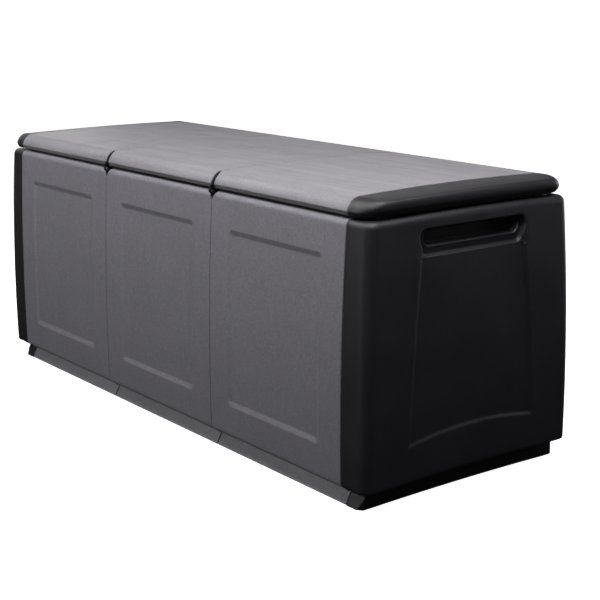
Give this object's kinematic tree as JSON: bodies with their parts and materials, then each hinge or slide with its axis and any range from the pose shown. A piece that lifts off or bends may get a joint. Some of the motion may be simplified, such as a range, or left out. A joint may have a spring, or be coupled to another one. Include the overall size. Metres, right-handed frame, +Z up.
{
  "type": "deck storage box",
  "caption": "Long outdoor storage box of grey moulded panels with black ends, hand pockets and a rear-hinged lid.",
  "frame": {"origin": "centre of the footprint at ground level", "axes": "+X along the length to the right, the front faces -Y, +Z up"},
  "size_m": [1.38, 0.516, 0.56],
  "materials": {
    "grey_plastic": "fine moulded grain",
    "grey_lid": "fine moulded grain",
    "black_plastic": "fine moulded grain",
    "steel": "zinc plated"
  },
  "bodies": {
    "box": {"floor_left": "grey_plastic", "floor_centre": "grey_plastic", "floor_right": "grey_plastic", "plinth_cap_left": "black_plastic", "plinth_cap_right": "black_plastic", "end_wall_left": "black_plastic", "end_wall_right": "black_plastic", "front_panel_left": "grey_plastic", "front_panel_centre": "grey_plastic", "front_panel_right": "grey_plastic", "back_panel_left": "grey_plastic", "back_panel_centre": "grey_plastic", "back_panel_right": "grey_plastic", "front_connector_left": "black_plastic", "front_connector_right": "black_plastic", "back_connector_left": "black_plastic", "back_connector_right": "black_plastic", "hinge_bracket_left": "black_plastic", "hinge_bracket_centre": "black_plastic", "hinge_bracket_right": "black_plastic", "hinge_pin_left": "steel", "hinge_pin_centre": "steel", "hinge_pin_right": "steel", "bracket_screws": "steel"},
    "lid": {"lid_panel_left": "grey_lid", "lid_panel_centre": "grey_lid", "lid_panel_right": "grey_lid", "lid_end_cap_left": "black_plastic", "lid_end_cap_right": "black_plastic", "lid_connector_left": "black_plastic", "lid_connector_right": "black_plastic", "hinge_arm_left": "black_plastic", "hinge_arm_centre": "black_plastic", "hinge_arm_right": "black_plastic", "arm_screws": "steel"}
  },
  "joints": [
    {"name": "lid_hinge", "type": "hinge", "parent": "box", "child": "lid", "pos_m": [0, 0.249, 0.524], "axis": [-1, 0, 0], "range_deg": [0, 100]}
  ]
}
